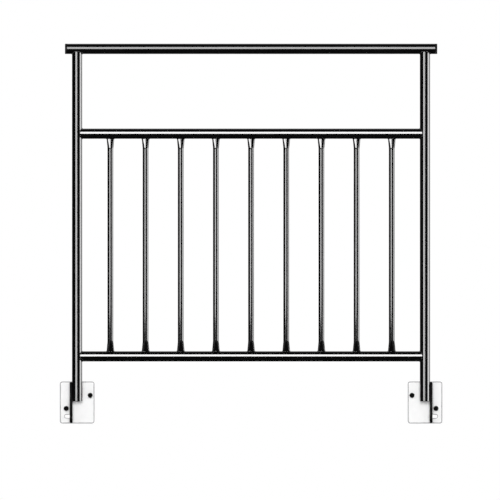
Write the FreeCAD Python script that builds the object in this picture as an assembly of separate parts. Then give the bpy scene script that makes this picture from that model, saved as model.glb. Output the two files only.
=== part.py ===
# Deck railing section: a welded guard rail of round steel tube for one side of a stage or deck.
# Two posts carry a top rail, a mid rail and a bottom rail. Nine balusters with pinched ends
# stand between the mid rail and the bottom rail. Each post is welded to a mounting plate and a
# side rib, and two socket-head screws hold each plate to the edge of the deck.
# Millimetres. +X runs along the rails, +Y points at the deck and +Z is up. The origin is the
# centre of the left mounting plate's back face, behind the axis of the left post.
import FreeCAD
import Part
import math
import os

V = FreeCAD.Vector

# Rails and posts, all of one pipe
pipe_od = 33.4
pipe_wall = 2.1
rail_length = 1210.0
rail_overhang = 23.0
overall_height = 1234.0
top_rail_drop = 275.6
bottom_rail_rise = 82.0
feather_trim = 1.5

# Balusters
bar_od = 19.05
bar_wall = 1.65
bar_pitch = 114.3
pinch_width = 25.0
pinch_length = 31.0
pinch_strips = 8

# Plugs in the ends of the top rail
plug_flange = 7.0
plug_fin = 2.5
plug_fin_length = 18.0
plug_clearance = 0.1

# Mounting plates
plate_width = 112.0
plate_height = 136.0
plate_thickness = 6.0
plate_corner = 8.0
plate_edge_break = 1.0
post_foot_height = 72.0

# Side ribs, flat bar on edge
rib_thickness = 8.0
rib_depth = 25.0
rib_offset = 19.6
rib_inset = 2.0
rib_corner = 8.0

# Slot near the plate's lower outer corner
slot_width = 11.0
slot_length = 22.0
slot_edge_gap = 15.5
slot_height = 23.0

# Plate screws, M10 socket head
screw_d = 10.0
screw_length = 30.0
screw_head_d = 16.0
screw_head_height = 10.0
screw_socket = 8.0
screw_socket_depth = 5.0
screw_hole_d = 12.7
upper_screw_inset = 13.6
upper_screw_drop = 44.8
lower_screw_rib_gap = 4.0
lower_screw_rise = 48.8

# Positions that follow from the sizes above
pipe_r = pipe_od / 2
pipe_bore_r = pipe_r - pipe_wall
bar_r = bar_od / 2
pinch_thickness = (math.pi * bar_od - 2 * pinch_width) / (math.pi - 2)
post_pitch = rail_length - 2 * (rail_overhang + pipe_r)
middle_x = post_pitch / 2
bar_count = int(post_pitch / bar_pitch)
plate_bottom = -plate_height / 2
plate_top = plate_height / 2
plate_front = -plate_thickness
tube_y = plate_front - pipe_r
top_rail_z = plate_bottom + overall_height - pipe_r
mid_rail_z = top_rail_z - top_rail_drop
bottom_rail_z = plate_top + bottom_rail_rise
post_foot_z = plate_bottom + post_foot_height


def rod_x(radius, x0, x1, z):
    """A round bar along X on the railing's centre plane."""
    return Part.makeCylinder(radius, x1 - x0, V(x0, tube_y, z), V(1, 0, 0))


def rod_z(radius, x, z0, z1):
    """A round bar along Z on the railing's centre plane."""
    return Part.makeCylinder(radius, z1 - z0, V(x, tube_y, z0), V(0, 0, 1))


def rod_y(radius, x, z, y0, y1):
    """A round bar along Y, as every hole and screw in a mounting plate."""
    return Part.makeCylinder(radius, y1 - y0, V(x, y0, z), V(0, 1, 0))


def top_rail():
    """A straight pipe that runs past both posts, open at the ends for the plugs."""
    x0 = middle_x - rail_length / 2 + plug_flange
    x1 = middle_x + rail_length / 2 - plug_flange
    pipe = rod_x(pipe_r, x0, x1, top_rail_z)
    return pipe.cut(rod_x(pipe_bore_r, x0, x1, top_rail_z))


def rail_plug(side):
    """A moulded plug: a round flange as wide as the pipe and four fins that grip its bore."""
    seat_x = middle_x + side * (rail_length / 2 - plug_flange)
    tip_x = seat_x - side * plug_fin_length
    plug = Part.makeCylinder(pipe_r, plug_flange, V(seat_x, tube_y, top_rail_z), V(side, 0, 0))
    fin = math.sqrt((pipe_bore_r - plug_clearance) ** 2 - (plug_fin / 2) ** 2)
    low_x = min(seat_x, tip_x)
    for half_y, half_z in ((fin, plug_fin / 2), (plug_fin / 2, fin)):
        corner = V(low_x, tube_y - half_y, top_rail_z - half_z)
        plug = plug.fuse(Part.makeBox(plug_fin_length, 2 * half_y, 2 * half_z, corner))
    return plug.removeSplitter()


def coped_rail(z):
    """A rail between the posts, its ends coped to the posts with the feather edges ground off."""
    x0 = feather_trim
    x1 = post_pitch - feather_trim
    pipe = rod_x(pipe_r, x0, x1, z).cut(rod_x(pipe_bore_r, x0, x1, z))
    for post_x in (0, post_pitch):
        pipe = pipe.cut(rod_z(pipe_r, post_x, z - pipe_od, z + pipe_od))
    return pipe


def post(x):
    """A post from its square foot in front of the plate up to its cope under the top rail."""
    z1 = top_rail_z - feather_trim
    pipe = rod_z(pipe_r, x, post_foot_z, z1).cut(rod_z(pipe_bore_r, x, post_foot_z, z1))
    return pipe.cut(rod_x(pipe_r, x - pipe_od, x + pipe_od, top_rail_z))


def round_side(x, z, reach, radius, side):
    """One round side of a tube from front to back, in strips; its centre stands reach off the axis."""
    centre = V(x + side * reach, tube_y, z)
    arcs = []
    for i in range(pinch_strips):
        points = []
        for part in (i, i + 0.5, i + 1):
            angle = math.pi * part / pinch_strips
            points.append(centre + V(side * radius * math.sin(angle), -radius * math.cos(angle), 0))
        arcs.append(Part.Arc(*points).toShape().toNurbs().Edges[0])
    return arcs


def outline_face(edges):
    """The flat face that closes one end of a pinch."""
    return Part.Face(Part.Wire(Part.sortEdges(edges)[0]))


def pinch(radius, width, thickness, x, round_z, flat_z):
    """Where a round tube is pressed flat: a flat triangle front and back between two half cones."""
    flat_r = thickness / 2
    reach = width / 2 - flat_r
    round_arcs = round_side(x, round_z, 0, radius, -1) + round_side(x, round_z, 0, radius, 1)
    flat_arcs = round_side(x, flat_z, reach, flat_r, -1) + round_side(x, flat_z, reach, flat_r, 1)
    faces = [Part.makeRuledSurface(flat, round_) for flat, round_ in zip(flat_arcs, round_arcs)]
    lips = []
    for way in (-1, 1):
        left = V(x - reach, tube_y + way * flat_r, flat_z)
        right = V(x + reach, tube_y + way * flat_r, flat_z)
        apex = V(x, tube_y + way * radius, round_z)
        lips.append(Part.makeLine(left, right))
        faces.append(Part.Face(Part.makePolygon([left, right, apex, left])))
    faces.append(outline_face(round_arcs))
    faces.append(outline_face(flat_arcs + lips))
    shell = Part.makeShell(faces)
    shell.sewShape()
    solid = Part.makeSolid(shell)
    if solid.Volume < 0:
        solid.reverse()
    return solid


def wedge_bore(x, round_z, flat_z):
    """The hollow inside a pinch: the tube's bore between two slopes one wall behind the flat triangles."""
    bore_r = bar_r - bar_wall
    mouth_r = pinch_thickness / 2 - bar_wall
    profile = [
        V(x - bore_r, tube_y - bore_r, round_z),
        V(x - bore_r, tube_y + bore_r, round_z),
        V(x - bore_r, tube_y + mouth_r, flat_z),
        V(x - bore_r, tube_y - mouth_r, flat_z),
    ]
    profile.append(profile[0])
    wedge = Part.Face(Part.makePolygon(profile)).extrude(V(2 * bore_r, 0, 0))
    return wedge.common(rod_z(bore_r, x, min(round_z, flat_z), max(round_z, flat_z)))


def baluster(x):
    """A tube pinched flat at both ends, each end coped to the round of its rail."""
    overrun = 2 * (pipe_r - math.sqrt(pipe_r ** 2 - (pinch_thickness / 2) ** 2))
    low = bottom_rail_z + pipe_r
    high = mid_rail_z - pipe_r
    tube = rod_z(bar_r, x, low + pinch_length, high - pinch_length)
    bore = rod_z(bar_r - bar_wall, x, low + pinch_length, high - pinch_length)
    for round_z, flat_z in ((low + pinch_length, low - overrun), (high - pinch_length, high + overrun)):
        tube = tube.fuse(pinch(bar_r, pinch_width, pinch_thickness, x, round_z, flat_z))
        bore = bore.fuse(wedge_bore(x, round_z, flat_z))
    tube = tube.cut(bore.removeSplitter())
    for z in (bottom_rail_z, mid_rail_z):
        tube = tube.cut(rod_x(pipe_r, x - pinch_width, x + pinch_width, z))
    return tube


def rounded_plate(x):
    """The plate's outline with round corners, extruded forward from the deck face."""
    x0 = x - plate_width / 2
    x1 = x + plate_width / 2
    z0 = plate_bottom
    z1 = plate_bottom + plate_height
    block = Part.makeBox(plate_width, plate_thickness, plate_height, V(x0, plate_front, z0))
    corners = []
    for edge in block.Edges:
        if abs(edge.tangentAt(edge.FirstParameter).y) > 0.5:
            corners.append(edge)
    plate = block.makeFillet(plate_corner, corners)
    rim = []
    for edge in plate.Edges:
        on_front = all(abs(vertex.Y - plate_front) < plate_edge_break / 2 for vertex in edge.Vertexes)
        if on_front:
            rim.append(edge)
    return plate.makeChamfer(plate_edge_break, rim)


def slot(x, side):
    """The cutter for the slot that runs sideways behind the rib."""
    r = slot_width / 2
    end_x = x + side * (plate_width / 2 - slot_edge_gap)
    outer_x = end_x - side * r
    inner_x = end_x - side * (slot_length - r)
    z = plate_bottom + slot_height
    left_x = min(outer_x, inner_x)
    box = Part.makeBox(abs(outer_x - inner_x), plate_thickness, slot_width, V(left_x, plate_front, z - r))
    return box.fuse([rod_y(r, outer_x, z, plate_front, 0), rod_y(r, inner_x, z, plate_front, 0)])


def screw_places(x, side):
    """Where the two screws of one plate sit: the upper towards the panel, the lower away from it."""
    upper_x = x - side * (plate_width / 2 - upper_screw_inset)
    lower_x = x + side * (rib_offset + rib_thickness / 2 + lower_screw_rib_gap + screw_head_d / 2)
    return (upper_x, plate_top - upper_screw_drop), (lower_x, plate_bottom + lower_screw_rise)


def mounting_plate(x, side):
    """A flat plate with two screw holes and one slot."""
    plate = rounded_plate(x)
    for hole_x, hole_z in screw_places(x, side):
        plate = plate.cut(rod_y(screw_hole_d / 2, hole_x, hole_z, plate_front, 0))
    return plate.cut(slot(x, side))


def side_rib(x, side):
    """Flat bar on edge beside the post, clipped at its free corners and grooved for the pipe."""
    z0 = plate_bottom + rib_inset
    z1 = plate_bottom + plate_height - rib_inset
    free_y = plate_front - rib_depth
    left_x = x + side * rib_offset - rib_thickness / 2
    profile = [
        V(left_x, plate_front, z0),
        V(left_x, free_y + rib_corner, z0),
        V(left_x, free_y, z0 + rib_corner),
        V(left_x, free_y, z1 - rib_corner),
        V(left_x, free_y + rib_corner, z1),
        V(left_x, plate_front, z1),
    ]
    profile.append(profile[0])
    bar = Part.Face(Part.makePolygon(profile)).extrude(V(rib_thickness, 0, 0))
    return bar.cut(rod_z(pipe_r, x, post_foot_z, z1))


def plate_screw(x, z):
    """A socket-head screw: head on the plate, thread through the hole and out of the back."""
    head_front = plate_front - screw_head_height
    head = rod_y(screw_head_d / 2, x, z, head_front, plate_front)
    corner_r = screw_socket / math.sqrt(3)
    corners = []
    for i in range(7):
        angle = math.radians(60 * i)
        corners.append(V(x + corner_r * math.cos(angle), head_front, z + corner_r * math.sin(angle)))
    socket = Part.Face(Part.makePolygon(corners)).extrude(V(0, screw_socket_depth, 0))
    thread = rod_y(screw_d / 2, x, z, plate_front, plate_front + screw_length)
    return head.cut(socket).fuse(thread)


def pieces():
    """Every piece with its name, from the rails down to the screws."""
    named = {"top_rail": top_rail(), "mid_rail": coped_rail(mid_rail_z), "bottom_rail": coped_rail(bottom_rail_z)}
    for word, side, x in (("left", -1, 0), ("right", 1, post_pitch)):
        named[word + "_rail_plug"] = rail_plug(side)
        named[word + "_post"] = post(x)
        named[word + "_mounting_plate"] = mounting_plate(x, side)
        named[word + "_rib"] = side_rib(x, side)
        upper, lower = screw_places(x, side)
        named[word + "_upper_screw"] = plate_screw(*upper)
        named[word + "_lower_screw"] = plate_screw(*lower)
    for i in range(bar_count):
        x = middle_x + (i - (bar_count - 1) / 2) * bar_pitch
        named["baluster_%d" % (i + 1)] = baluster(x)
    return named


os.makedirs("parts", exist_ok=True)
for name, shape in pieces().items():
    shape.exportStep("parts/%s.step" % name)
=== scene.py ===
"""Looks for the deck railing section: a welded guard rail of black painted steel tube with two plated
mounting plates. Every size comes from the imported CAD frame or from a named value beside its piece."""
import math

import bmesh
import bpy
import numpy as np
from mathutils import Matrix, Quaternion, Vector
from mathutils.geometry import tessellate_polygon


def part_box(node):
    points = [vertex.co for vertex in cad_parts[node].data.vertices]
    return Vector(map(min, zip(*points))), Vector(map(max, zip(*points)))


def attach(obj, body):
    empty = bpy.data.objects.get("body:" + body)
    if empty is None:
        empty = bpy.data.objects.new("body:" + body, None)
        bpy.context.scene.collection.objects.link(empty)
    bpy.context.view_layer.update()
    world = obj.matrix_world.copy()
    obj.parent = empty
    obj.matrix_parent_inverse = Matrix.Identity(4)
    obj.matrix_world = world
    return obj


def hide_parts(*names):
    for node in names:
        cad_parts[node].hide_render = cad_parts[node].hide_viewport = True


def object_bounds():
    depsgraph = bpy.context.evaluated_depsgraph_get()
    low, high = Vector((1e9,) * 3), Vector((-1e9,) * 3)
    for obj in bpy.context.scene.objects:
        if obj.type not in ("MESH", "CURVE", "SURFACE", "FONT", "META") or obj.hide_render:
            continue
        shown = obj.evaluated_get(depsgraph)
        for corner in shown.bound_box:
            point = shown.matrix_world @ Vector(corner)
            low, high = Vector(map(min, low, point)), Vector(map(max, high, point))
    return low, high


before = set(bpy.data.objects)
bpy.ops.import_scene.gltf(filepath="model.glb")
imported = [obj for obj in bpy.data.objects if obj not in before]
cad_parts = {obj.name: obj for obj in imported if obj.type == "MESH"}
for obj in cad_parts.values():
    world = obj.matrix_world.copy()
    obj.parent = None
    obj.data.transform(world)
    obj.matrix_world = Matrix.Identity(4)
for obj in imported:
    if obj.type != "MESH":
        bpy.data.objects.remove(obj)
cad_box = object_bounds()


# Posts: two lengths of steel pipe, square at the foot and coped under the top rail, with the cope's
# thin feather tips ground back square. The whole frame is welded and then powder coated gloss black,
# so posts, rails, balusters and ribs share one skin of paint with a faint orange peel.
post_boxes = {side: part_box(side + "_post") for side in ("left", "right")}
post_lines = {side: (low[0] + high[0]) / 2 for side, (low, high) in post_boxes.items()}
post_foot = post_boxes["left"][0][2]
top_rail_low, top_rail_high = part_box("top_rail")
top_rail_height = (top_rail_low[2] + top_rail_high[2]) / 2
rail_plane = (top_rail_low[1] + top_rail_high[1]) / 2
pipe_radius = (top_rail_high[2] - top_rail_low[2]) / 2
pipe_wall = 0.0021
pipe_sides = 72
feather_trim = 0.0094
coat_darkest = (0.0012, 0.0012, 0.0013)
coat_palest = (0.0035, 0.0035, 0.0036)
coat_scuffed = (0.020, 0.020, 0.0205)
scuffs_begin = 0.75


def new_finish(name):
    """A finish to fill in: the material, its tree of nodes and the shader at the tree's end."""
    finish = bpy.data.materials.new(name)
    finish.use_nodes = True
    return finish, finish.node_tree, finish.node_tree.nodes["Principled BSDF"]


def add_node(tree, kind, inputs=None, **settings):
    """A node of this kind, with its settings and the values of its inputs."""
    made = tree.nodes.new(kind)
    for name, value in settings.items():
        setattr(made, name, value)
    for name, value in (inputs or {}).items():
        made.inputs[name].default_value = value
    return made


def clouds(tree, scale, detail=2, stretch=(1, 1, 1)):
    """A cloudy pattern that stays on its piece, with about this many clouds to a metre."""
    place = add_node(tree, "ShaderNodeTexCoord")
    laid = add_node(tree, "ShaderNodeMapping", {"Scale": stretch})
    pattern = add_node(tree, "ShaderNodeTexNoise", {"Scale": scale, "Detail": detail})
    tree.links.new(place.outputs["Object"], laid.inputs["Vector"])
    tree.links.new(laid.outputs["Vector"], pattern.inputs["Vector"])
    return pattern


def tones(tree, dark, light):
    """A run of tones from dark to light."""
    ramp = add_node(tree, "ShaderNodeValToRGB")
    ramp.color_ramp.elements[0].color = (*dark, 1)
    ramp.color_ramp.elements[1].color = (*light, 1)
    return ramp


def varied_gloss(tree, shader, pattern, smoothest, dullest):
    """Roughness that follows a pattern."""
    sheen = add_node(tree, "ShaderNodeMapRange", {"To Min": smoothest, "To Max": dullest})
    tree.links.new(pattern.outputs["Fac"], sheen.inputs["Value"])
    tree.links.new(sheen.outputs["Result"], shader.inputs["Roughness"])


def fine_relief(tree, shader, pattern, strength, depth):
    """Bumps too small to model, which follow a pattern."""
    relief = add_node(tree, "ShaderNodeBump", {"Strength": strength, "Distance": depth})
    tree.links.new(pattern.outputs["Fac"], relief.inputs["Height"])
    tree.links.new(relief.outputs["Normal"], shader.inputs["Normal"])
    return relief


def black_powder_coat(name, smoothest, dullest, shine=0.3):
    """Powder coat: near black, mirror-like or dulled by handling, with a faint orange peel. It draws
    back a little from sharp edges, which are rounded by it and scuffed to dark grey here and there."""
    paint, tree, shader = new_finish(name)
    mottle = clouds(tree, scale=11, detail=1)
    peel = clouds(tree, scale=380)
    surface = add_node(tree, "ShaderNodeNewGeometry")
    rounding = add_node(tree, "ShaderNodeBevel", {"Radius": 0.0007}, samples=4)
    level = add_node(tree, "ShaderNodeVectorMath", operation="DOT_PRODUCT")
    tree.links.new(rounding.outputs["Normal"], level.inputs[0])
    tree.links.new(surface.outputs["Normal"], level.inputs[1])
    edge = add_node(tree, "ShaderNodeMapRange", {"From Min": 0.985, "From Max": 0.90})
    tree.links.new(level.outputs["Value"], edge.inputs["Value"])
    scuffed = add_node(tree, "ShaderNodeMath", operation="MULTIPLY_ADD")
    tree.links.new(edge.outputs["Result"], scuffed.inputs[0])
    tree.links.new(peel.outputs["Fac"], scuffed.inputs[1])
    tree.links.new(mottle.outputs["Fac"], scuffed.inputs[2])
    tone = tones(tree, coat_darkest, coat_scuffed)
    tone.color_ramp.elements.new(scuffs_begin).color = (*coat_palest, 1)
    tree.links.new(scuffed.outputs["Value"], tone.inputs["Fac"])
    tree.links.new(tone.outputs["Color"], shader.inputs["Base Color"])
    softened = add_node(tree, "ShaderNodeMix", data_type="VECTOR")
    tree.links.new(edge.outputs["Result"], softened.inputs["Factor"])
    tree.links.new(surface.outputs["Normal"], softened.inputs["A"])
    tree.links.new(rounding.outputs["Normal"], softened.inputs["B"])
    varied_gloss(tree, shader, mottle, smoothest, dullest)
    relief = fine_relief(tree, shader, peel, strength=0.0015, depth=0.0003)
    tree.links.new(softened.outputs["Result"], relief.inputs["Normal"])
    shader.inputs["Specular IOR Level"].default_value = shine
    return paint


black_paint = black_powder_coat("gloss_black_paint", smoothest=0.025, dullest=0.04)


def finished(name, vertices, faces, material, crease=35):
    """A smooth-shaded mesh with its sharp edges kept, riding on the frame."""
    mesh = bpy.data.meshes.new(name)
    mesh.from_pydata([tuple(v) for v in vertices], [], faces)
    mesh.validate()
    mesh.polygons.foreach_set("use_smooth", [True] * len(mesh.polygons))
    mesh.set_sharp_from_angle(angle=math.radians(crease))
    mesh.materials.append(material)
    piece = bpy.data.objects.new(name, mesh)
    bpy.context.scene.collection.objects.link(piece)
    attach(piece, "root")
    return piece


def skin(name, rings, material, closed=True, crease=35):
    """Rings of equally many points joined one to the next; closed joins the last ring to the first."""
    count = len(rings[0])
    vertices = np.concatenate(rings)
    faces = []
    for i in range(len(rings) if closed else len(rings) - 1):
        a, b = i * count, (i + 1) % len(rings) * count
        for j in range(count):
            k = (j + 1) % count
            faces.append((a + j, b + j, b + k, a + k))
    return finished(name, vertices, faces, material, crease)


def round_angles(count):
    """Angles of points spread evenly round a circle."""
    return np.arange(count) * 2 * math.pi / count


def around(radius):
    """Offsets of a pipe's points from its centre line: across it, and ahead with the front first."""
    angle = round_angles(pipe_sides)
    return radius * np.sin(angle), -radius * np.cos(angle)


def cope(offset):
    """How far from the other pipe's centre line a coped end stops, at this offset ahead of it. The
    ground tips stop at the trim."""
    return np.maximum(np.sqrt(np.maximum(pipe_radius ** 2 - offset ** 2, 0)), feather_trim)


for side, x in post_lines.items():
    rings = []
    for radius, heights in ((pipe_radius, (0, 1)), (pipe_radius - pipe_wall, (1, 0))):
        across, ahead = around(radius)
        for at_top in heights:
            z = top_rail_height - cope(ahead) if at_top else np.full_like(across, post_foot)
            rings.append(np.column_stack([x + across, rail_plane + ahead, z]))
    post = skin(side + "_post_pipe", rings, black_paint)
    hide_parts(side + "_post")


# Top rail: the hand rail, one straight pipe that lies on both coped posts and runs a little past
# them. Its open ends take the plugs, and hands have dulled its paint a little.
handled_paint = black_powder_coat("handled_black_paint", smoothest=0.03, dullest=0.045, shine=0.135)


def level_pipe(name, z, left_end, right_end, paint):
    """A pipe along the railing; each end is a function of the offset ahead of its centre line."""
    rings = []
    outside = (pipe_radius, (left_end, right_end))
    inside = (pipe_radius - pipe_wall, (right_end, left_end))
    for radius, ends in (outside, inside):
        up, ahead = around(radius)
        for end in ends:
            rings.append(np.column_stack([end(ahead), rail_plane + ahead, z + up]))
    rail = skin(name + "_pipe", rings, paint)
    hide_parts(name)


level_pipe(
    "top_rail",
    top_rail_height,
    lambda ahead: np.full_like(ahead, top_rail_low[0]),
    lambda ahead: np.full_like(ahead, top_rail_high[0]),
    handled_paint,
)


# Mid rail and bottom rail: the same pipe cut to fit between the posts, both ends coped to the
# round of the post before welding.
level_rails = {}
for name in ("mid_rail", "bottom_rail"):
    low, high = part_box(name)
    level_rails[name] = (low[2] + high[2]) / 2
    level_pipe(
        name,
        level_rails[name],
        lambda ahead: post_lines["left"] + cope(ahead),
        lambda ahead: post_lines["right"] - cope(ahead),
        black_paint,
    )


# Balusters: nine thinner tubes. A press squeezes each end flat before welding, which leaves a flat
# triangle front and back between two half cones and spreads the mouth along the rail.
baluster_names = [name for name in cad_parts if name.startswith("baluster_")]
baluster_names.sort(key=lambda name: int(name.split("_")[1]))
pinch_length = 0.031
pinch_wall = 0.00165
pinch_crown = 0.0006
pinch_squareness = 2.4
pinch_ease = 0.05
pinch_run_out = 0.12
pinch_rings = 13
pinch_steps = np.linspace(1, -pinch_run_out, pinch_rings)
ring_points = 64


def tube_ring(x, z, spread, radius, mouth_half, mouth_deep):
    """One level of a baluster: spread 0 is the round tube, spread 1 is the flat crowned mouth."""
    angle = round_angles(ring_points)
    sine, cosine = np.sin(angle), -np.cos(angle)
    power = 2 / pinch_squareness
    wide = mouth_half * np.sign(sine) * np.abs(sine) ** power
    deep = mouth_deep * np.sign(cosine) * np.abs(cosine) ** power
    across = x + (1 - spread) * radius * sine + spread * wide
    ahead = rail_plane + (1 - spread) * radius * cosine + spread * deep
    return np.column_stack([across, ahead, np.broadcast_to(z, ring_points)])


def eased(step):
    """Share of the squeeze: a straight run that turns softly into the round tube."""
    return (step + math.sqrt(step ** 2 + pinch_ease ** 2)) / (1 + math.sqrt(1 + pinch_ease ** 2))


def laid_on(ring, rail_z, way):
    """The mouth laid on the round of its rail, from above (way 1) or from below (way -1)."""
    ring[:, 2] = rail_z + way * np.sqrt(pipe_radius ** 2 - (ring[:, 1] - rail_plane) ** 2)
    return ring


mouth_rings = {}
for name in baluster_names:
    low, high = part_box(name)
    x = (low[0] + high[0]) / 2
    radius = (high[1] - low[1]) / 2
    mouth_half = (high[0] - low[0]) / 2
    # The pressed mouth keeps the round tube's girth, with a slight crown.
    mouth_deep = (math.pi * radius - 2 * mouth_half) / (math.pi - 2) + pinch_crown
    foot = level_rails["bottom_rail"] + pipe_radius
    head = level_rails["mid_rail"] - pipe_radius
    rings = []
    for wall, order in ((0, 1), (pinch_wall, -1)):
        sizes = (radius - wall, mouth_half - wall, mouth_deep - wall)
        stack = [laid_on(tube_ring(x, foot, 1, *sizes), level_rails["bottom_rail"], 1)]
        for step in pinch_steps[1:]:
            stack.append(tube_ring(x, foot + (1 - step) * pinch_length, eased(step), *sizes))
        for step in pinch_steps[:0:-1]:
            stack.append(tube_ring(x, head - (1 - step) * pinch_length, eased(step), *sizes))
        stack.append(laid_on(tube_ring(x, head, 1, *sizes), level_rails["mid_rail"], -1))
        if not wall:
            mouth_rings[name] = (stack[0].copy(), stack[-1].copy())
        rings += stack[::order]
    tube = skin(name + "_tube", rings, black_paint, crease=50)
    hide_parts(name)


# Weld beads: every joint is welded all round by hand before painting. A bead is a low ridge laid
# along the seam, with the ripples the torch leaves as it steps along, under the same black paint.
bead_sides = 12
ripple_pitch = 0.0021
ripple_mean = 0.96
ripple_swing = 0.05


def travelled(path):
    """Distances along a closed path, from its first point to each of its points and back to it."""
    steps = np.linalg.norm(np.diff(path, axis=0, append=path[:1]), axis=1)
    return np.concatenate([[0], np.cumsum(steps)])


def weld(name, path, outward, width, height, closed=True):
    """A rippled ridge along a path of points; outward says which way it stands up at each point.
    Width and height are one value each, or one for every point."""
    ahead = np.roll(path, -1, axis=0) - np.roll(path, 1, axis=0)
    if not closed:
        ahead[0] = path[1] - path[0]
        ahead[-1] = path[-1] - path[-2]
    ahead /= np.linalg.norm(ahead, axis=1)[:, None]
    outward = outward - ahead * np.sum(outward * ahead, axis=1)[:, None]
    outward /= np.linalg.norm(outward, axis=1)[:, None]
    sideways = np.cross(ahead, outward)
    travel = travelled(path)
    ripples = max(round(travel[-1] / ripple_pitch), 1)
    swell = ripple_mean + ripple_swing * np.cos(2 * math.pi * ripples * travel / travel[-1])
    widths = np.broadcast_to(width, len(path))
    heights = np.broadcast_to(height, len(path))
    turn = round_angles(bead_sides)[:, None]
    rings = []
    for i in range(len(path)):
        across = np.cos(turn) * sideways[i] * widths[i] / 2
        lift = np.sin(turn) * outward[i] * heights[i]
        rings.append(path[i] + swell[i] * (across + lift))
    skin(name, rings, black_paint, closed=closed, crease=80)


bead_width = 0.0052
bead_height = 0.0015
trim_extra_width = 0.0010
trim_extra_height = 0.0011
trim_lean = 2.5
seam_points = 480
seam_turn = 16
front_lean = 2
# The seam between two equal pipes: its distance to the side, off the other pipe's centre line and
# ahead. Where the tips are ground back, the bead is bigger and leans over the step.
seam_angle = round_angles(seam_points)
seam_side = pipe_radius * np.sin(seam_angle)
turned_reach = (np.abs(seam_side) ** seam_turn + feather_trim ** seam_turn) ** (1 / seam_turn)
seam_reach = np.minimum(turned_reach, pipe_radius)
seam_ahead = -np.sign(np.cos(seam_angle)) * np.sqrt(pipe_radius ** 2 - seam_reach ** 2)
trimmed = 1 - np.minimum(np.abs(seam_side) / feather_trim, 1) ** 2
seam_lean = seam_reach * (1 - trim_lean * trimmed)
seam_size = (bead_width + trim_extra_width * trimmed, bead_height + trim_extra_height * trimmed)
for side, x in post_lines.items():
    path = np.column_stack([x + seam_side, rail_plane + seam_ahead, top_rail_height - seam_reach])
    out = np.column_stack([seam_side, front_lean * seam_ahead, -seam_lean])
    weld("weld_" + side + "_post_top", path, out, *seam_size)
    inward = 1 if side == "left" else -1
    for name, z in level_rails.items():
        path = np.column_stack([x + inward * seam_reach, rail_plane + seam_ahead, z + seam_side])
        out = np.column_stack([inward * seam_lean, front_lean * seam_ahead, seam_side])
        weld("weld_" + side + "_" + name, path, out, *seam_size)

baluster_bead = (0.0038, 0.0014)
bead_step = 0.0006
side_lean = 0.35


def at_even_steps(loop, travel, places):
    """A closed loop of points read off at places along its own length."""
    columns = np.vstack([loop, loop[:1]]).T
    return np.column_stack([np.interp(places, travel, column) for column in columns])


for name in baluster_names:
    for ring, rail, end in zip(mouth_rings[name], ("bottom_rail", "mid_rail"), ("foot", "head")):
        out = (ring - ring.mean(axis=0)) * (side_lean, 1, 0)
        out /= np.linalg.norm(out, axis=1)[:, None]
        out[:, 2] = 1 if ring[0, 2] > level_rails[rail] else -1
        travel = travelled(ring)
        places = np.linspace(0, travel[-1], round(travel[-1] / bead_step), endpoint=False)
        path = at_even_steps(ring, travel, places)
        out = at_even_steps(out, travel, places)
        weld("weld_" + name + "_" + end, path, out, *baluster_bead)


# Rail plugs: moulded black plastic discs with a rounded rim, pushed into the open ends of the
# top rail on four fins. The plastic is duller than the paint.
plastic_darkest = (0.003, 0.003, 0.0033)
plastic_palest = (0.009, 0.009, 0.0095)
plug_flange = 0.007
plug_rim = 0.0016
plug_rim_steps = 6
# A skin that closes on its own axis ends in a ring this small.
closing_radius = 0.00005


def moulded_black_plastic():
    """Satin plastic with a fine grain from the mould."""
    plastic, tree, shader = new_finish("moulded_black_plastic")
    cloud = clouds(tree, scale=60)
    grain = clouds(tree, scale=1500)
    tone = tones(tree, plastic_darkest, plastic_palest)
    tree.links.new(cloud.outputs["Fac"], tone.inputs["Fac"])
    tree.links.new(tone.outputs["Color"], shader.inputs["Base Color"])
    varied_gloss(tree, shader, cloud, smoothest=0.42, dullest=0.58)
    fine_relief(tree, shader, grain, strength=0.15, depth=0.0001)
    shader.inputs["Specular IOR Level"].default_value = 0.05
    return plastic


black_plastic = moulded_black_plastic()
for side, way in (("left", -1), ("right", 1)):
    low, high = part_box(side + "_rail_plug")
    face = low[0] if way < 0 else high[0]
    seat = face - way * plug_flange
    profile = [(seat, closing_radius), (seat, pipe_radius)]
    for step in range(plug_rim_steps + 1):
        angle = math.radians(90 * step / plug_rim_steps)
        along = face - way * plug_rim * (1 - math.sin(angle))
        profile.append((along, pipe_radius - plug_rim * (1 - math.cos(angle))))
    profile.append((face, closing_radius))
    rings = []
    for along, radius in profile:
        up, ahead = around(radius)
        rings.append(np.column_stack([np.full(pipe_sides, along), rail_plane + ahead, top_rail_height + up]))
    plug = skin(side + "_rail_plug_cap", rings, black_plastic, closed=False, crease=40)
    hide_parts(side + "_rail_plug")


# Mounting plates: 6 mm steel plate with rounded corners, drilled for two screws and slotted for a
# third, then zinc plated. The frame's paint stops at the post and the rib, and the plate's edges
# are eased so that they do not cut.
zinc_darkest = (0.83, 0.83, 0.83)
zinc_palest = (0.90, 0.90, 0.90)
# The grey below is a painted shade for the plate's rolled edges, not a colour of the zinc.
zinc_painted_edge_shade = (0.30, 0.30, 0.31)
plate_corner = 0.008
corner_points = 14
plate_roll = (0.0044, 0.0028)
slot_roll = (0.0027, 0.0022)
hole_roll = (0.0006, 0.0006)
roll_steps = 7
screw_hole = 0.0127 / 2
hole_points = 48
slot_width = 0.011
slot_length = 0.022
slot_edge_gap = 0.0155
slot_height = 0.023
slot_end_points = 20


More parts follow.
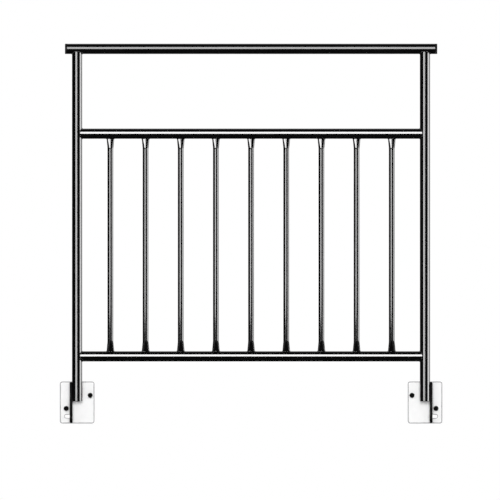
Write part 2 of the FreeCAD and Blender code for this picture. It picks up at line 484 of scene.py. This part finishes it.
def zinc_plating():
    """Zinc: a soft silvery white with a faint cloud and fine brushing. Wherever the metal turns away from
    the flat face towards an edge, the colour is painted grey: a painted shade on the rolled edges."""
    plating, tree, shader = new_finish("zinc_plating")
    cloud = clouds(tree, scale=45, detail=5)
    brushing = clouds(tree, scale=60, stretch=(1, 1, 30))
    tone = tones(tree, zinc_darkest, zinc_palest)
    tree.links.new(cloud.outputs["Fac"], tone.inputs["Fac"])
    place = add_node(tree, "ShaderNodeTexCoord")
    facing = add_node(tree, "ShaderNodeSeparateXYZ")
    tree.links.new(place.outputs["Normal"], facing.inputs["Vector"])
    flatness = add_node(tree, "ShaderNodeMath", operation="ABSOLUTE")
    tree.links.new(facing.outputs["Y"], flatness.inputs[0])
    # Painted shade: the colour darkens to grey as the surface turns from the flat face towards an edge.
    turned = {"From Min": 0.998, "From Max": 0.90}
    painted_edge_shade = add_node(tree, "ShaderNodeMapRange", turned, interpolation_type="SMOOTHSTEP")
    tree.links.new(flatness.outputs["Value"], painted_edge_shade.inputs["Value"])
    edge_tone = add_node(tree, "ShaderNodeMix", data_type="RGBA")
    edge_tone.inputs["B"].default_value = (*zinc_painted_edge_shade, 1)
    tree.links.new(painted_edge_shade.outputs["Result"], edge_tone.inputs["Factor"])
    tree.links.new(tone.outputs["Color"], edge_tone.inputs["A"])
    tree.links.new(edge_tone.outputs["Result"], shader.inputs["Base Color"])
    varied_gloss(tree, shader, brushing, smoothest=0.42, dullest=0.60)
    fine_relief(tree, shader, brushing, strength=0.05, depth=0.0001)
    shader.inputs["Specular IOR Level"].default_value = 0.12
    return plating


zinc = zinc_plating()


def arc(x, z, radius, start, end, points):
    """Points on a round stretch in the plate's own plane; angles in degrees."""
    turn = np.radians(np.linspace(start, end, points))
    return np.column_stack([x + radius * np.cos(turn), z + radius * np.sin(turn)])


def plate_outline(low, high):
    """The plate's rounded rectangle, as a function of how far it is drawn in."""
    right, left = high[0] - plate_corner, low[0] + plate_corner
    top, bottom = high[2] - plate_corner, low[2] + plate_corner
    corners = ((right, top, 0), (left, top, 90), (left, bottom, 180), (right, bottom, 270))

    def outline(inset):
        radius = plate_corner - inset
        return np.concatenate([arc(x, z, radius, a, a + 90, corner_points) for x, z, a in corners])

    return outline


def slot_outline(ends, z):
    """The slot's two round ends, as a function of how far they are opened out."""

    def outline(inset):
        radius = slot_width / 2 + inset
        right_end = arc(ends[1], z, radius, -90, 90, slot_end_points)
        left_end = arc(ends[0], z, radius, 90, 270, slot_end_points)
        return np.concatenate([right_end, left_end])

    return outline


def hole_outline(x, z):
    """A drilled hole, as a function of how far it is opened out."""

    def outline(inset):
        return arc(x, z, screw_hole + inset, 0, 360 - 360 / hole_points, hole_points)

    return outline


def cut_plate(name, cuts, front, back):
    """A flat plate. Each cut gives its outline at a distance into the metal, and how far its edge is
    rolled over: along the face and down the side. The first cut is the outside, the others are holes."""
    vertices, faces = [], []
    front_rims, back_rims = [], []
    for outline, (along, down) in cuts:
        turn = np.linspace(0, math.pi / 2, roll_steps)
        roll = [(along * (1 - math.sin(a)), down * (1 - math.cos(a))) for a in turn]
        rings = [(inset, front + depth) for inset, depth in roll]
        rings += [(inset, back - depth) for inset, depth in reversed(roll)]
        count = len(outline(0))
        first = len(vertices)
        for inset, y in rings:
            vertices += [(x, y, z) for x, z in outline(inset)]
        for near in range(first, len(vertices) - count, count):
            far = near + count
            for j in range(count):
                k = (j + 1) % count
                faces.append((near + j, near + k, far + k, far + j))
        front_rims.append(range(first, first + count))
        back_rims.append(range(len(vertices) - count, len(vertices)))
    rolled = len(faces)
    for rims in (front_rims, back_rims):
        corners = [i for rim in rims for i in rim]
        flat = [[Vector((vertices[i][0], vertices[i][2], 0)) for i in rim] for rim in rims]
        for a, b, c in tessellate_polygon(flat):
            faces.append((corners[a], corners[b], corners[c]))
    mesh = bpy.data.meshes.new(name)
    mesh.from_pydata(vertices, [], faces)
    mesh.materials.append(zinc)
    for polygon in mesh.polygons:
        polygon.use_smooth = polygon.index < rolled
    shell = bmesh.new()
    shell.from_mesh(mesh)
    bmesh.ops.recalc_face_normals(shell, faces=shell.faces)
    shell.to_mesh(mesh)
    shell.free()
    piece = bpy.data.objects.new(name, mesh)
    bpy.context.scene.collection.objects.link(piece)
    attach(piece, "root")
    return piece


for side, way in (("left", -1), ("right", 1)):
    low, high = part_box(side + "_mounting_plate")
    cuts = [(plate_outline(low, high), plate_roll)]
    for screw in ("_upper_screw", "_lower_screw"):
        screw_low, screw_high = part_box(side + screw)
        middle = (screw_low + screw_high) / 2
        cuts.append((hole_outline(middle.x, middle.z), hole_roll))
    end = (low[0] if way < 0 else high[0]) - way * slot_edge_gap
    ends = sorted((end - way * slot_width / 2, end - way * (slot_length - slot_width / 2)))
    cuts.append((slot_outline(ends, low[2] + slot_height), slot_roll))
    plate = cut_plate(side + "_mounting_plate_steel", cuts, low[1], high[1])
    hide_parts(side + "_mounting_plate")


# Side ribs: 8 mm flat bar on edge along the outer side of each post, clipped at the free corners,
# grooved for the pipe and welded to pipe and plate. Rolled bar has a rougher skin than drawn pipe,
# so the paint is duller here. The ribs carry the push of a crowd into the plate.
rib_paint = black_powder_coat("rough_black_paint", smoothest=0.5, dullest=0.62, shine=0.035)
rib_clip = 0.008
rib_edge = 0.0012
for side in ("left", "right"):
    low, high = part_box(side + "_rib")
    profile = [
        (high[1], low[2]),
        (low[1] + rib_clip, low[2]),
        (low[1], low[2] + rib_clip),
        (low[1], high[2] - rib_clip),
        (low[1] + rib_clip, high[2]),
        (high[1], high[2]),
    ]
    vertices = [(x, y, z) for x in (low[0], high[0]) for y, z in profile]
    count = len(profile)
    faces = [tuple(range(count))[::-1], tuple(range(count, 2 * count))]
    faces += [(i, (i + 1) % count, count + (i + 1) % count, count + i) for i in range(count)]
    rib = finished(side + "_rib_bar", vertices, faces, rib_paint)
    rounded = rib.modifiers.new("eased_edges", "BEVEL")
    rounded.width = rib_edge
    rounded.segments = 3
    rounded.limit_method = "ANGLE"
    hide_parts(side + "_rib")


# Plate welds: straight fillets down both sides of the post and the rib, in the corner with the plate.
# They are laid like the beads on the rails and lie under the same paint.
fillet_points = 120
post_fillet = {"size": (0.0062, 0.0026), "lean": (0.75, -0.65), "short": 0.001}
post_fillet_side = 0.0075
post_fillet_front = 0.0012
rib_fillet = {"size": (0.0014, 0.0007), "lean": (0.7, -0.7), "short": 0.002}
rib_fillet_offset = 0.0001


def fillet(name, x, y, bottom, top, way, kind):
    """A straight bead up the corner to the left (way -1) or right (way 1) of a piece. It stops a
    little short of both ends."""
    heights = np.linspace(bottom + kind["short"], top - kind["short"], fillet_points)
    path = np.column_stack([np.full(fillet_points, x), np.full(fillet_points, y), heights])
    out = np.broadcast_to((way * kind["lean"][0], kind["lean"][1], 0.0), path.shape)
    weld(name, path, out, *kind["size"], closed=False)


for side, x in post_lines.items():
    low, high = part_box(side + "_mounting_plate")
    rib_low, rib_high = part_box(side + "_rib")
    for way, word in ((-1, "left"), (1, "right")):
        name = "weld_" + side + "_foot_" + word
        fillet_x, fillet_y = x + way * post_fillet_side, low[1] - post_fillet_front
        fillet(name, fillet_x, fillet_y, post_foot, high[2], way, post_fillet)
    for face, way, word in ((rib_low[0], -1, "left"), (rib_high[0], 1, "right")):
        name = "weld_" + side + "_rib_" + word
        fillet_x, fillet_y = face + way * rib_fillet_offset, low[1] - rib_fillet_offset
        fillet(name, fillet_x, fillet_y, rib_low[2], rib_high[2], way, rib_fillet)


# Plate screws: black M10 socket-head screws, two to each plate. The head has a chamfered rim and a
# hexagon socket, and the rolled thread stands out behind the plate to go into the deck frame.
oxide_darkest = (0.0010, 0.0010, 0.0010)
oxide_palest = (0.0040, 0.0039, 0.0038)
screw_sides = 48
head_height = 0.010
head_chamfer = 0.0009
edge_break = 0.0002
socket_sides = 6
socket_across = 0.008
socket_depth = 0.005
socket_drill_point = 0.001
socket_bottom_share = 0.97
socket_mouth_share = 1.05
socket_mouth_depth = 0.0004
shank_radius = 0.005
neck_fillet = 0.0004
neck_length = 0.0006
thread_pitch = 0.0015
thread_depth = 0.0009
thread_run_out = 0.0012
thread_rings = 8
tip_chamfer = 0.0016


def black_oxide():
    """Oiled black oxide on steel: dark, slightly warm, softly shining."""
    oxide, tree, shader = new_finish("black_oxide_steel")
    cloud = clouds(tree, scale=220)
    tone = tones(tree, oxide_darkest, oxide_palest)
    tree.links.new(cloud.outputs["Fac"], tone.inputs["Fac"])
    tree.links.new(tone.outputs["Color"], shader.inputs["Base Color"])
    varied_gloss(tree, shader, cloud, smoothest=0.30, dullest=0.45)
    fine_relief(tree, shader, cloud, strength=0.1, depth=0.0001)
    shader.inputs["Specular IOR Level"].default_value = 0.02
    return oxide


oxide_black = black_oxide()
screw_turn = round_angles(screw_sides)
half_side = math.pi / socket_sides
hexagon = socket_across / 2 / np.cos((screw_turn + half_side) % (2 * half_side) - half_side)


def screw_ring(x, z, radius, y):
    """One level of a screw; the radius is one value, or one for every point."""
    across, up = radius * np.cos(screw_turn), radius * np.sin(screw_turn)
    return np.column_stack([x + across, np.broadcast_to(y, screw_sides), z + up])


for side in ("left", "right"):
    for place in ("upper", "lower"):
        node = side + "_" + place + "_screw"
        low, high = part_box(node)
        x, z = (low[0] + high[0]) / 2, (low[2] + high[2]) / 2
        head_radius = (high[0] - low[0]) / 2
        face, tip = low[1], high[1]
        seat = face + head_height
        levels = [
            (closing_radius, face + socket_depth + socket_drill_point),
            (hexagon * socket_bottom_share, face + socket_depth),
            (hexagon, face + socket_mouth_depth),
            (hexagon * socket_mouth_share, face),
            (head_radius - head_chamfer, face),
            (head_radius, face + head_chamfer),
            (head_radius, seat - edge_break),
            (head_radius - edge_break, seat),
            (shank_radius + neck_fillet, seat),
            (shank_radius - edge_break, seat + neck_length),
        ]
        thread_start = seat + thread_run_out
        thread_length = tip - thread_run_out - thread_start
        steps = int(thread_length / thread_pitch * thread_rings)
        for step in range(steps + 1):
            y = thread_start + thread_length * step / steps
            phase = (y / thread_pitch - screw_turn / (2 * math.pi)) % 1
            levels.append((shank_radius - thread_depth * np.abs(2 * phase - 1), y))
        levels += [(shank_radius - tip_chamfer, tip), (closing_radius, tip)]
        rings = [screw_ring(x, z, radius, y) for radius, y in levels]
        screw = skin(node + "_steel", rings, oxide_black, closed=False, crease=38)
        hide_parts(node)


# Floor: a plain matt white floor, 60 m square, half a millimetre under the plates. It carries the
# railing's soft shadow.
floor_half = 30
floor_gap = 0.0005
floor_level = cad_box[0][2] - floor_gap
middle_x = (post_lines["left"] + post_lines["right"]) / 2
quarters = [(-1, -1), (1, -1), (1, 1), (-1, 1)]


def plain_sheet(name, points, faces, finish_name, looks):
    """Flat sheets of one plain finish; looks gives the finish's values."""
    finish, _, shader = new_finish(finish_name)
    for socket, value in looks.items():
        shader.inputs[socket].default_value = value
    mesh = bpy.data.meshes.new(name)
    mesh.from_pydata(points, [], faces)
    mesh.materials.append(finish)
    sheet = bpy.data.objects.new(name, mesh)
    bpy.context.scene.collection.objects.link(sheet)
    return sheet


floor_points = [(middle_x + a * floor_half, b * floor_half, floor_level) for a, b in quarters]
floor_white = {"Base Color": (0.93, 0.93, 0.93, 1), "Roughness": 0.9}
floor = plain_sheet("studio_floor", floor_points, [(0, 1, 2, 3)], "white_floor", floor_white)


# Studio: a large soft fill in front and two soft lights behind light the railing and the floor. The
# side lights and the strips show only in reflections, as the paint's long bright lines, and the black
# flags keep the rest of it black. Behind and to the right, the paint sees the white ground.
light_distance = 50
studio_middle = 0.55
scene = bpy.context.scene
scene.view_settings.view_transform = "Standard"


def flat_lamp(name, azimuth, elevation, width, height, radiance, roll=0):
    """A flat lamp that faces the railing. Angles in degrees: azimuth to the right, elevation up,
    width and height as the railing sees them. Radiance 1 looks as bright as white paper."""
    turn, lift = math.radians(azimuth), math.radians(elevation)
    way = Vector((math.sin(turn) * math.cos(lift), -math.cos(turn) * math.cos(lift), math.sin(lift)))
    data = bpy.data.lights.new(name, "AREA")
    data.shape = "RECTANGLE"
    data.size = 2 * light_distance * math.tan(math.radians(width) / 2)
    data.size_y = 2 * light_distance * math.tan(math.radians(height) / 2)
    data.energy = radiance * math.pi * data.size * data.size_y
    lamp = bpy.data.objects.new(name, data)
    lamp.location = Vector((middle_x, 0, studio_middle)) + way * light_distance
    aim = way.to_track_quat("Z", "Y")
    lamp.rotation_euler = (aim @ Quaternion((0, 0, 1), math.radians(roll))).to_euler()
    lamp.visible_camera = False
    scene.collection.objects.link(lamp)
    return lamp


fill = flat_lamp("fill_light", azimuth=0, elevation=13, width=34, height=26, radiance=9.7)
fill.visible_glossy = False
flat_lamp("back_light_225", azimuth=-135, elevation=50, width=30, height=30, radiance=3)
flat_lamp("back_light_135", azimuth=135, elevation=50, width=30, height=30, radiance=3)
strips = [
    flat_lamp("side_light_310", azimuth=-50, elevation=50, width=30, height=30, radiance=1.5),
    flat_lamp("side_light_50", azimuth=50, elevation=50, width=30, height=30, radiance=1.5),
    flat_lamp("front_strip", azimuth=0, elevation=18.5, width=2.8, height=45, radiance=41),
    flat_lamp("left_strip", azimuth=-23.5, elevation=0, width=27.5, height=6, radiance=25),
    flat_lamp("upper_strip", azimuth=-21.5, elevation=13.2, width=33, height=5, radiance=40, roll=10),
    flat_lamp("right_strip", azimuth=78, elevation=0, width=28.5, height=6, radiance=26),
    flat_lamp("rim_strip", azimuth=120, elevation=0, width=50, height=3.4, radiance=3),
]
for strip in strips:
    strip.visible_diffuse = False

# The flags are a curved wall with a lid over it, and a runner along the floor under the railing.
flag_radius = 90
flag_foot, flag_head = -30, 220
flag_from, flag_to = 186, 465
flag_count = 60
runner_margin, runner_half, runner_lift = 0.2, 60, 0.001
bends = []
for angle in np.linspace(math.radians(flag_from), math.radians(flag_to), flag_count):
    bends.append((middle_x + flag_radius * math.sin(angle), -flag_radius * math.cos(angle)))
flag_points = [(x, y, flag_foot) for x, y in bends] + [(x, y, flag_head) for x, y in bends]
flag_faces = [(i, i + 1, flag_count + i + 1, flag_count + i) for i in range(flag_count - 1)]
flag_faces.append(tuple(range(flag_count, 2 * flag_count)))
for a, b in quarters:
    edge = cad_box[0 if a < 0 else 1][0] + a * runner_margin
    flag_points.append((edge, b * runner_half, floor_level + runner_lift))
flag_faces.append(tuple(range(2 * flag_count, 2 * flag_count + len(quarters))))
felt_black = {"Base Color": (0.01, 0.01, 0.01, 1), "Specular IOR Level": 0}
flags = plain_sheet("black_flags", flag_points, flag_faces, "black_felt", felt_black)
flags.visible_camera = False
flags.visible_diffuse = False
flags.visible_transmission = False
flags.visible_shadow = False
flags.visible_volume_scatter = False

world = bpy.data.worlds.new("white_studio")
scene.world = world
world.use_nodes = True
sky_tree = world.node_tree
sky = sky_tree.nodes["Background"]
sky.inputs["Color"].default_value = (1, 1, 1, 1)
ray = add_node(sky_tree, "ShaderNodeLightPath")
seen = add_node(sky_tree, "ShaderNodeMath", operation="MAXIMUM")
sky_tree.links.new(ray.outputs["Is Camera Ray"], seen.inputs[0])
sky_tree.links.new(ray.outputs["Is Glossy Ray"], seen.inputs[1])
seen_all = add_node(sky_tree, "ShaderNodeMath", operation="MAXIMUM")
sky_tree.links.new(seen.outputs["Value"], seen_all.inputs[0])
sky_tree.links.new(ray.outputs["Is Transmission Ray"], seen_all.inputs[1])
strength = add_node(sky_tree, "ShaderNodeMapRange", {"To Min": 0.10, "To Max": 1.0})
sky_tree.links.new(seen_all.outputs["Value"], strength.inputs["Value"])
sky_tree.links.new(strength.outputs["Result"], sky.inputs["Strength"])


# Camera: a flat front view with no perspective, as in the photograph. It looks at the middle of the
# picture, and one pixel covers 3.25 mm.
picture_pixels = 500
metres_per_pixel = 0.00325
middle_column = 251.1
plate_bottom_row = 423.4
camera_distance = 6
camera_data = bpy.data.cameras.new("front_camera")
camera_data.type = "ORTHO"
camera_data.ortho_scale = picture_pixels * metres_per_pixel
camera_data.clip_end = 100
camera = bpy.data.objects.new("front_camera", camera_data)
camera.location = (
    middle_x - (middle_column - picture_pixels / 2) * metres_per_pixel,
    -camera_distance,
    cad_box[0][2] + (plate_bottom_row - picture_pixels / 2) * metres_per_pixel,
)
camera.rotation_euler = (math.pi / 2, 0, 0)
scene.collection.objects.link(camera)
scene.camera = camera
